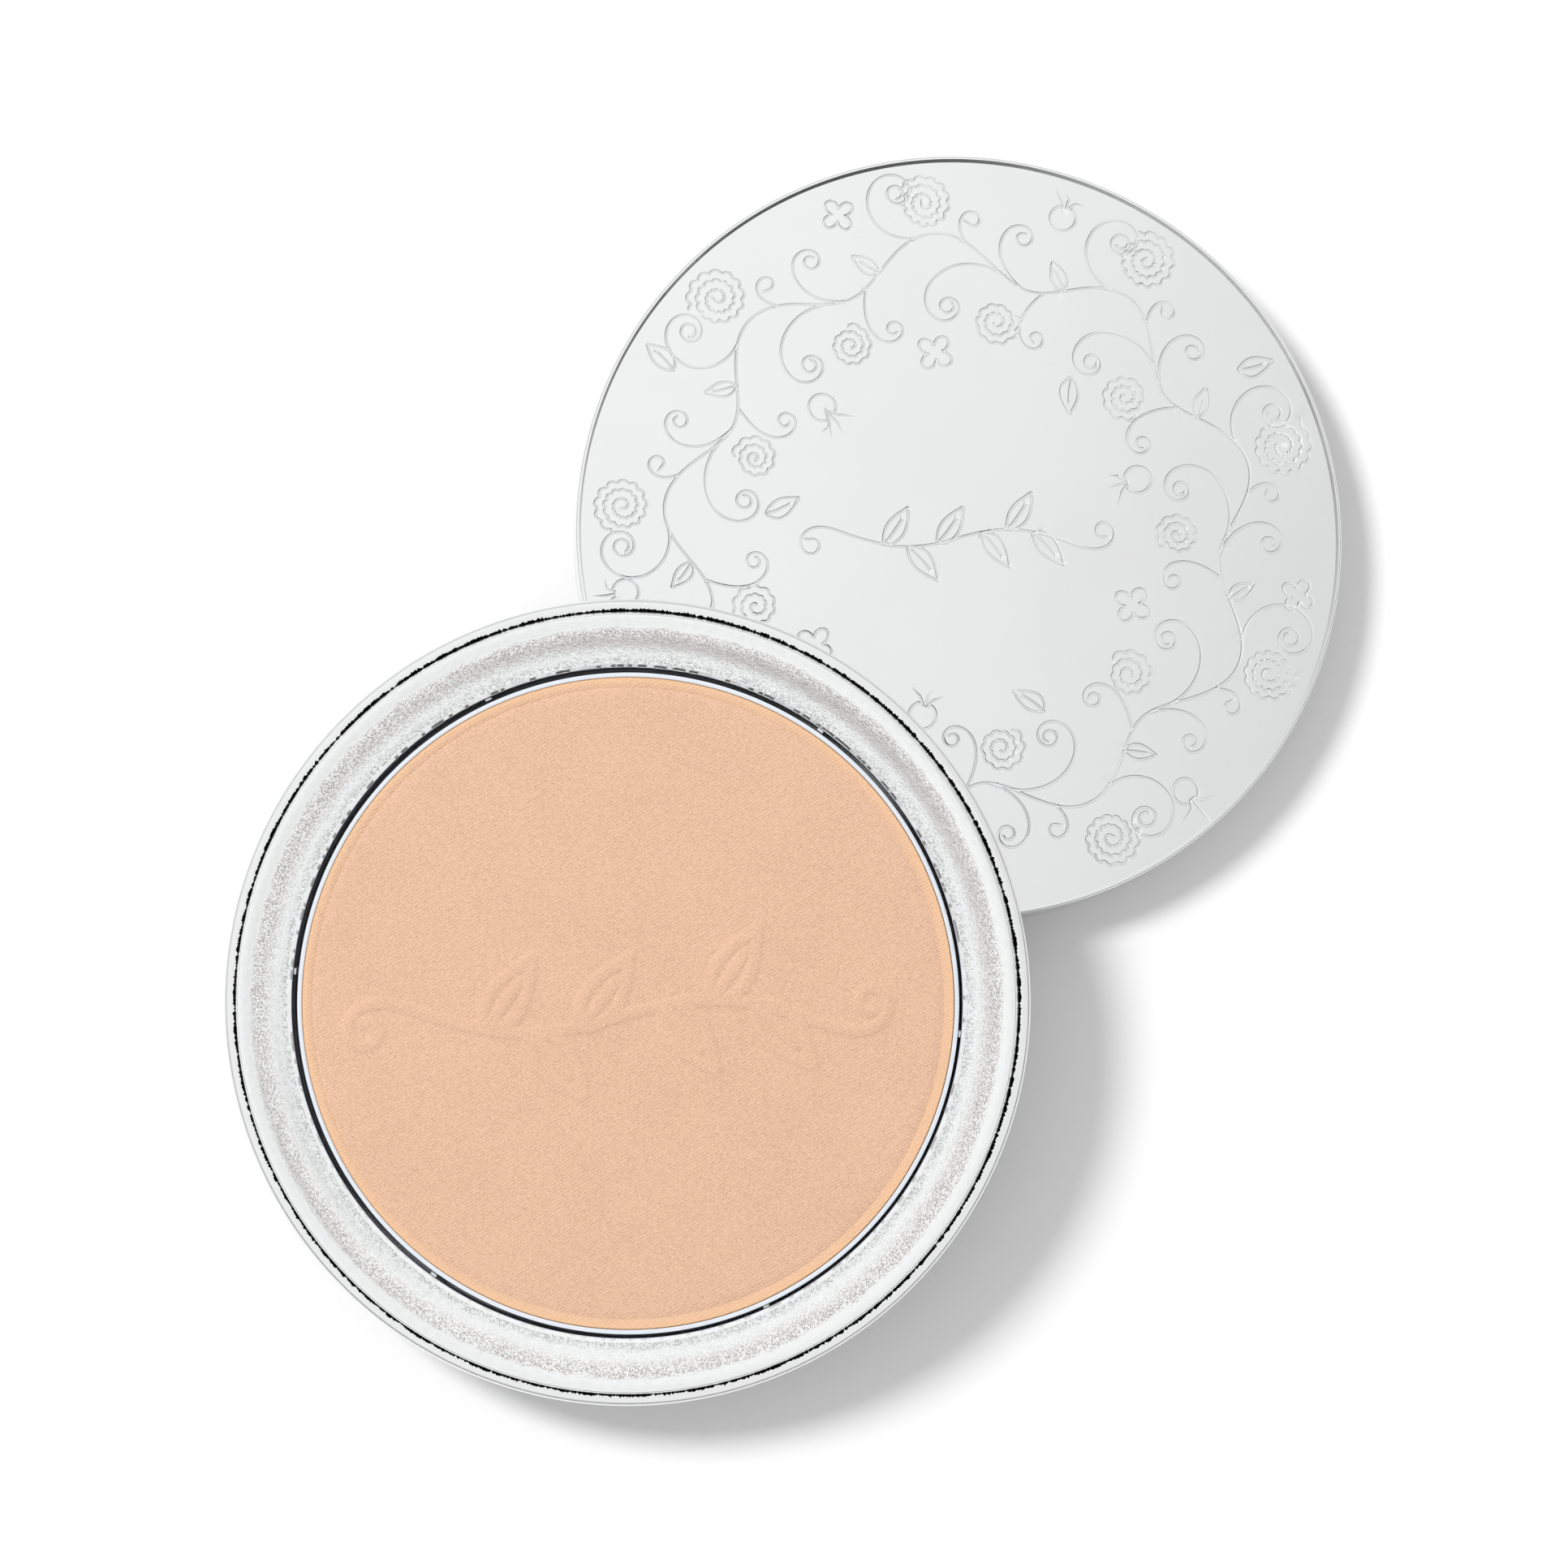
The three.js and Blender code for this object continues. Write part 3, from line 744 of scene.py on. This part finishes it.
def collar(material, groove_shade_paint):
    neck, foot, top = BASE.measure("collar_ring")
    shoulder = BASE.measure("base_shell")[2]
    surround = top - SURROUND_DROP
    taper = math.radians(NECK_TAPER)
    neck_foot = shoulder - BEAD_INNER_RADIUS
    edge_height = top - NECK_EDGE_RADIUS
    rise = edge_height + NECK_EDGE_RADIUS * math.sin(taper) - neck_foot
    edge = neck - rise * math.tan(taper) - NECK_EDGE_RADIUS * math.cos(taper)

    def slope(start, end, drop, steps):
        fall = top - LAND_DROP - surround
        result = []
        for radius in np.linspace(start, end, steps + 1):
            share = (radius - SLOPE_INNER_RADIUS) / (SLOPE_OUTER_RADIUS - SLOPE_INNER_RADIUS)
            smooth = (1 - math.cos(math.pi * share)) / 2
            height = (1 - SLOPE_STRAIGHTNESS) * smooth + SLOPE_STRAIGHTNESS * share
            result.append((radius, surround + fall * height - drop))
        return result

    def ring(number):
        return slice(number * COLLAR_SEGMENTS, (number + 1) * COLLAR_SEGMENTS)

    lip = WELL_RADIUS + LIP_WIDTH
    outline = [(neck, foot), (neck, neck_foot)]
    outline += [(neck - inward, neck_foot + inward / math.tan(taper)) for inward in NECK_CLEAN]
    outline += arc(edge, edge_height, NECK_EDGE_RADIUS, NECK_TAPER, 90, 8)
    outline += slope(SLOPE_OUTER_RADIUS, SLOPE_INNER_RADIUS, 0, 26)
    lip_edge = len(outline)
    outline += [
        (lip, surround),
        (WELL_RADIUS + LIP_ROLL_WIDTH, surround - LIP_FALL + LIP_ROLL_ENDS[0]),
        (WELL_RADIUS, surround - LIP_FALL - LIP_ROLL_ENDS[1]),
        (WELL_RADIUS, foot),
        (WELL_RADIUS + COLLAR_WALL, foot),
    ]
    outline += slope(SLOPE_INNER_RADIUS, SLOPE_OUTER_RADIUS, COLLAR_WALL, 8)
    outline += [(edge, top - COLLAR_WALL), (neck - COLLAR_WALL, neck_foot), (neck - COLLAR_WALL, foot)]
    points, faces, _ = turned(outline, COLLAR_SEGMENTS)
    # The foot of the neck is torn like the shell's edge, and the slope is slightly uneven.
    chance = np.random.default_rng(COLLAR_SEED)
    torn = np.clip(RAGGEDNESS * ragged(chance, COLLAR_SEGMENTS), *NECK_TEAR_LIMITS)
    points[ring(1), :2] *= (1 + torn / neck)[:, None]
    worn = LIP_RAGGEDNESS * ragged(chance, COLLAR_SEGMENTS)
    points[ring(lip_edge), :2] *= (1 + worn / lip)[:, None]
    reach = np.hypot(points[:, 0], points[:, 1])
    turn = np.arctan2(points[:, 1], points[:, 0])
    uneven = np.zeros(len(points))
    for _ in range(UNEVEN_WAVES):
        waves, tilt, phase = chance.integers(20, 220), chance.uniform(-4, 4), chance.uniform(0, TAU)
        uneven += np.sin(turn * waves + reach * tilt + phase)
    on_slope = np.clip((reach - SLOPE_INNER_RADIUS + 0.6) * (SLOPE_OUTER_RADIUS + 0.4 - reach), 0, 1)
    above_foot = points[:, 2] > foot + COLLAR_WALL / 2
    points[:, 2] += UNEVENNESS * uneven / math.sqrt(UNEVEN_WAVES) * on_slope * above_foot
    # Painted shade: the neck's hidden foot, below the shell's shoulder, gets the near-black groove paint
    below = lambda r, z: (r > SLOPE_OUTER_RADIUS + PAINTED_SHADE_START) & (z < neck_foot)
    piece(BASE, "collar", "collar_ring", points, faces, [material, groove_shade_paint],
          sharp=COLLAR_SHARP_ANGLE, paint=below)


def tray(material):
    """A cup and its skirt, with a ring of small upright fingers that keep the pan central."""
    radius, foot, finger_top = BASE.measure("inner_tray")
    top = BASE.measure("collar_ring")[1] - TRAY_TOP_DROP
    floor_top = BASE.measure("pan_adhesive")[1] - PAD_GAP
    skirt_foot, bend_radius = radius - SKIRT_FOOT_INSET, radius - SKIRT_BEND_INSET
    bend_height = foot + SKIRT_BEND_HEIGHT
    cup = [
        (WELL_RADIUS + TRAY_WALL, floor_top - TRAY_WALL),
        (WELL_RADIUS + TRAY_WALL, top - TRAY_WALL),
        (radius - SKIRT_TOP_SHARE * TRAY_WALL, top - TRAY_WALL),
        (bend_radius - TRAY_WALL, bend_height),
        (skirt_foot - TRAY_WALL, foot),
        (skirt_foot, foot),
        (bend_radius, bend_height),
        (radius, top),
        (WELL_RADIUS, top),
        (WELL_RADIUS, floor_top),
    ]
    outline = [(0, floor_top - TRAY_WALL)] + rounded(cup, TRAY_ROUNDING) + [(0, floor_top)]
    body, faces, _ = turned(outline)
    points = [body]
    for i in range(FINGER_COUNT):
        add_finger(points, faces, (i + 0.5) * 360 / FINGER_COUNT, floor_top - TRAY_WALL / 2, finger_top)
    piece(BASE, "tray", "inner_tray", np.vstack(points), faces, [material])


def add_finger(points, faces, degrees, bottom, top):
    """A rounded post in the gap between the pan and the collar, drawn in at its tip."""
    corners = [(-1, -1), (1, -1), (1, 1), (-1, 1)]
    section = np.array(rounded(corners, 0.5))
    middle = WELL_RADIUS - FINGER_GAP - FINGER_THICKNESS / 2
    rotation = np.array((polar(1, degrees), polar(1, degrees + 90)))
    rings = []
    for height, share in ((bottom, 1), *((top - depth, share) for depth, share in FINGER_TIP)):
        flat = section * (FINGER_THICKNESS / 2, FINGER_WIDTH / 2) * share + (middle, 0)
        start = sum(len(part) for part in points)
        points.append(np.column_stack((flat @ rotation, np.full(len(flat), height))))
        rings.append(start + np.arange(len(flat)))
    for near, far in zip(rings, rings[1:]):
        faces.extend(band(near, far))
    faces.append(rings[0][::-1].tolist())
    faces.append(rings[-1].tolist())


def loose():
    """How far the pan and its powder lie off the base's axis."""
    return polar(LOOSENESS, LOOSENESS_TURN - PICTURE_TURN)


def pan(material):
    radius, bottom, top = BASE.measure("powder_pan")
    corner_radius, corner_height = radius - PAN_CORNER_RADIUS, bottom + PAN_CORNER_RADIUS
    inner, rounding = radius - PAN_WALL, PAN_RIM_ROUNDING
    outline = [(0, bottom)]
    outline += arc(corner_radius, corner_height, PAN_CORNER_RADIUS, -90, 0, 8)
    outline += [(radius, top - 3 * PAN_RIM_FLARE)]
    outline += arc(radius + PAN_RIM_FLARE - rounding, top - rounding, rounding, 0, 90, 4)
    outline += arc(inner + rounding, top - rounding, rounding, 90, 180, 4)
    outline += arc(corner_radius, corner_height, PAN_CORNER_RADIUS - PAN_WALL, 0, -90, 6)
    outline += [(0, bottom + PAN_WALL)]
    points, faces, _ = turned(outline, PAN_SEGMENTS)
    points[:, :2] += loose()
    piece(BASE, "pan", "powder_pan", points, faces, [material])


def powder():
    radius, bottom, top = BASE.measure("pressed_powder")
    radius += POWDER_SPREAD
    edge = POWDER_EDGE_RADIUS
    outline = [(0, bottom), (radius - POWDER_FOOT_CHAMFER, bottom), (radius, bottom + POWDER_FOOT_CHAMFER)]
    outline += arc(radius - edge, top - edge, edge, 0, 90, 6)
    press = radius - PRESS_LINE
    deepest, end = PRESS_LINE_STEPS
    outline += [(press, top), (press - deepest, top - PRESS_LINE_DEPTH), (press - end, top)]
    motif = moved(sprig(*MOTIF), 0, MOTIF_SHIFT, 90 - PICTURE_TURN)
    rows = (0, *(MOTIF_HALF_WIDTH + share * MOTIF_EDGE for share in (-1, 0, 1, 2)))

    def height_at(_, distance):
        share = np.clip((MOTIF_HALF_WIDTH + MOTIF_EDGE - distance) / (2 * MOTIF_EDGE), 0, 1)
        return MOTIF_HEIGHT * share**2 * (3 - 2 * share)

    points, faces = capped(outline, PAN_SEGMENTS, motif, rows, MOTIF_FILL, height_at)
    points[:, :2] += loose()
    piece(BASE, "powder", "pressed_powder", points, faces, [pressed_powder_material(radius)])


def label(material):
    radius, bottom, top = BASE.measure("underside_label")
    chamfer = LABEL_CHAMFER
    outline = [(0, bottom), (radius - chamfer, bottom), (radius, bottom + chamfer), (radius, top), (0, top)]
    points, faces, _ = turned(outline)
    piece(BASE, "label", "underside_label", points, faces, [material])


# Lid pieces


def lid_shell(material):
    radius, _, height = LID.measure("lid_shell")
    inner = radius - LID_WALL
    ceiling = height - LID_TOP_THICKNESS
    inner_corner = LID_INNER_CORNER_RADIUS
    outline = [(0, ceiling)]
    outline += arc(inner - inner_corner, ceiling - inner_corner, inner_corner, 90, 0, 5)
    outline += arc(radius - LID_RIM_CHAMFER, LID_RIM_CHAMFER, LID_RIM_CHAMFER, 250, 360, 8)
    outline += arc(radius - LID_EDGE_RADIUS, height - LID_EDGE_RADIUS, LID_EDGE_RADIUS, 0, 90, 10)
    border = radius - LID_BORDER_WIDTH
    outline += [(border, height), (border - LID_BORDER_STEP, height - LID_BORDER_HEIGHT)]
    curves = wreath() + moved(sprig(*LID_SPRIG), 0, LID_SPRIG_SHIFT, 90 - PICTURE_TURN)
    width = LINE_HALF_WIDTH
    rows = (0, width, width * LINE_OUTER_ROW)

    def height_at(place, distance):
        """The lines are worn: their depth wanders over the face."""
        x, y = place.T
        wander = np.sin(0.31 * x + 0.17 * y + 1) + np.sin(0.23 * y - 0.37 * x) + np.sin(0.9 * x + 0.7 * y)
        return -LINE_DEPTH * (1 + LINE_WANDER * wander) * (1 - np.clip(distance / width, 0, 1))

    points, faces = capped(outline, LID_SEGMENTS, curves, rows, LID_FILL, height_at)
    face = slice(1 + (len(outline) - 2) * LID_SEGMENTS, None)  # the outline's last ring and all inside it
    points[face, :2] += polar(LID_FACE_SHIFT, LID_FACE_TURN - PICTURE_TURN)
    piece(LID, "lid", "lid_shell", points, faces, [material],
          sharp=LID_SHARP_ANGLE)


def liner(material):
    radius, bottom, top = LID.measure("lid_liner")
    seat = LID.measure("lid_mirror")[0] + MIRROR_GAP
    bezel, ledge = seat - BEZEL_WIDTH, bottom + BEZEL_THICKNESS
    corners = [(bezel, bottom), (radius, bottom), (radius, top), (seat, top), (seat, ledge), (bezel, ledge)]
    points, faces, _ = turned(rounded(corners, LINER_CHAMFER))
    piece(LID, "liner", "lid_liner", points, faces, [material])


def mirror(material):
    radius, bottom, top = LID.measure("lid_mirror")
    chamfer = MIRROR_CHAMFER
    outline = [(0, bottom), (radius - chamfer, bottom), (radius, bottom + chamfer),
               (radius, top - chamfer), (radius - chamfer, top), (0, top)]
    points, faces, _ = turned(outline)
    piece(LID, "mirror", "lid_mirror", points, faces, [material],
          sharp=MIRROR_SHARP_ANGLE)


def pad(half, name, node, material):
    """A thin round pad of adhesive with a soft edge."""
    radius, bottom, top = half.measure(node)
    middle, thick = (bottom + top) / 2, (top - bottom) / 2
    outline = [(0, bottom)] + arc(radius - thick, middle, thick, -90, 90, 8) + [(0, top)]
    points, faces, _ = turned(outline)
    piece(half, name, node, points, faces, [material])


# Near-black paint that stands in for the shade deep in the groove between the shell and the neck
groove_shade_paint = painted_groove_shade()
adhesive = fibrous_paper("foam_adhesive", (0.86, 0.84, 0.76), 0.03)
base_shell(satin_aluminium("satin_shell", 0.32), groove_shade_paint)
collar(grained_aluminium(), groove_shade_paint)
tray(moulded_plastic("tray_plastic", (0.55, 0.56, 0.57), 0.45))
pan(pan_aluminium())
powder()
pad(BASE, "pan_pad", "pan_adhesive", adhesive)
label(fibrous_paper("label_paper", (0.9, 0.9, 0.88), 0.01))
lid_shell(satin_aluminium("satin_lid", 0.2))
liner(moulded_plastic("liner_plastic", (0.8, 0.8, 0.8), 0.4))
mirror(mirror_glass())
pad(LID, "mirror_pad", "mirror_adhesive", adhesive)


# Camera, floor and light

VIEW_DISTANCE = 360.0
VIEW_HALF_WIDTH = 69.97  # of the picture, across the shoulder of the base
VIEW_AIM = (0.1, 24.0)  # from the base's middle, towards the lid
KEY_TURN = 150  # from the picture's right edge round to where the light comes from
KEY_ELEVATION = 52
KEY_DISTANCE = 1.2
KEY_SIZE = 0.3
KEY_POWER = 12.5
# Brightness of the tent at these heights, as sines of the elevation: on its bright and its dark side
DARK_SIDE_TURN = -68  # from the picture's right edge round to the middle of the dark side
SKY_BRIGHT = ((0.0, 0.25), (0.2, 0.45), (0.42, 0.88), (0.65, 1.02), (1.0, 1.0))
SKY_DARK = ((0.0, 0.02), (0.22, 0.04), (0.37, 0.5), (0.54, 0.92), (1.0, 1.0))
# Soft grey cards in the ceiling: the turn of each from the picture's right edge, its lean from
# straight up, how far it reaches round its middle, in degrees, and how much light it takes away
GREY_CARDS = ((15, 23, 17, 0.42), (-69, 14, 17, 0.16))
WALL = (0.93, 0.93, 0.93)  # what shows behind the floor
FLOOR_HALF_WIDTH = 2.0
FLOOR_SHADES = (0.7, 0.71)


def toward(turn):
    """Level direction at that turn from the picture's right edge."""
    return polar(1, 90 - PICTURE_TURN + turn)


def set_camera():
    """Looks straight down the base's axis, past the base's middle towards the lid."""
    shoulder = BASE.measure("base_shell")[2] - BEAD_RADIUS
    camera = bpy.data.cameras.new("camera")
    camera.lens = camera.sensor_width / 2 * VIEW_DISTANCE / VIEW_HALF_WIDTH
    eye = bpy.data.objects.new("camera", camera)
    bpy.context.scene.collection.objects.link(eye)
    turn = Matrix(((*toward(0), 0), (*toward(90), 0), (0, 0, 1))).transposed()
    rotation = (BASE.rotation @ turn).to_4x4()
    eye.matrix_world = Matrix.Translation(BASE.place(*VIEW_AIM, shoulder + VIEW_DISTANCE)) @ rotation
    bpy.context.scene.camera = eye


def lay_floor():
    half = FLOOR_HALF_WIDTH
    mesh = bpy.data.meshes.new("floor")
    corners = [(-half, -half, 0), (half, -half, 0), (half, half, 0), (-half, half, 0)]
    mesh.from_pydata(corners, [], [(0, 1, 2, 3)])
    material, tree, shader = new_material("white_paper", Metallic=0.0)
    shader.inputs["Roughness"].default_value = 0.9
    shader.inputs["Specular IOR Level"].default_value = 0.1
    cloud = noise(tree, own_place(tree), 60.0)
    darker, lighter = ((shade,) * 3 for shade in FLOOR_SHADES)
    link(tree, shader, Base_Color=ramp(tree, cloud, (0.3, darker), (0.7, lighter)))
    mesh.materials.append(material)
    floor = bpy.data.objects.new("floor", mesh)
    bpy.context.scene.collection.objects.link(floor)


def set_key_light():
    """One soft light from the picture's upper left."""
    lamp = bpy.data.lights.new("key", "AREA")
    lamp.shape = "DISK"
    lamp.size = KEY_SIZE
    lamp.energy = KEY_POWER
    key = bpy.data.objects.new("key", lamp)
    bpy.context.scene.collection.objects.link(key)
    elevation = math.radians(KEY_ELEVATION)
    way = Vector((*(toward(KEY_TURN) * math.cos(elevation)), math.sin(elevation)))
    key.location = way * KEY_DISTANCE
    key.rotation_euler = way.to_track_quat("Z", "Y").to_euler()
    key.visible_glossy = False  # the metal mirrors only the soft ceiling


def set_sky():
    """A light tent: bright but for a dark band low down on one side and soft grey cards in its
    ceiling."""
    world = bpy.data.worlds.new("studio")
    bpy.context.scene.world = world
    world.use_nodes = True
    tree = world.node_tree
    background = tree.nodes["Background"]
    direction = add(tree, "ShaderNodeTexCoord").outputs["Generated"]
    rise = add(tree, "ShaderNodeSeparateXYZ", {0: direction}).outputs[2]
    bright, dark = (
        ramp(tree, rise, *((height, (light,) * 3) for height, light in sky))
        for sky in (SKY_BRIGHT, SKY_DARK)
    )
    to_dark = add(tree, "ShaderNodeVectorMath", {0: direction, 1: (*toward(DARK_SIDE_TURN), 0)},
                  operation="DOT_PRODUCT").outputs["Value"]
    side = between(tree, to_dark, 0.0, 1.0, -0.35, 0.35)
    glow = add(tree, "ShaderNodeMix", {0: side, 6: bright, 7: dark}, data_type="RGBA").outputs[2]
    for turn, lean, reach, depth in GREY_CARDS:
        lean = math.radians(lean)
        card = Vector((*(toward(turn) * math.sin(lean)), math.cos(lean)))
        to_card = add(tree, "ShaderNodeVectorMath", {0: direction, 1: card},
                      operation="DOT_PRODUCT").outputs["Value"]
        shade = between(tree, to_card, 1.0, 1 - depth, math.cos(math.radians(reach)), 1.0)
        glow = add(tree, "ShaderNodeVectorMath", {0: glow, 3: shade}, operation="SCALE").outputs[0]
    seen = add(tree, "ShaderNodeLightPath").outputs["Is Camera Ray"]
    wall = add(tree, "ShaderNodeMix", {0: seen, 6: glow, 7: (*WALL, 1)}, data_type="RGBA")
    tree.links.new(wall.outputs[2], background.inputs["Color"])


set_camera()
lay_floor()
set_key_light()
set_sky()
bpy.context.scene.view_settings.view_transform = "Standard"
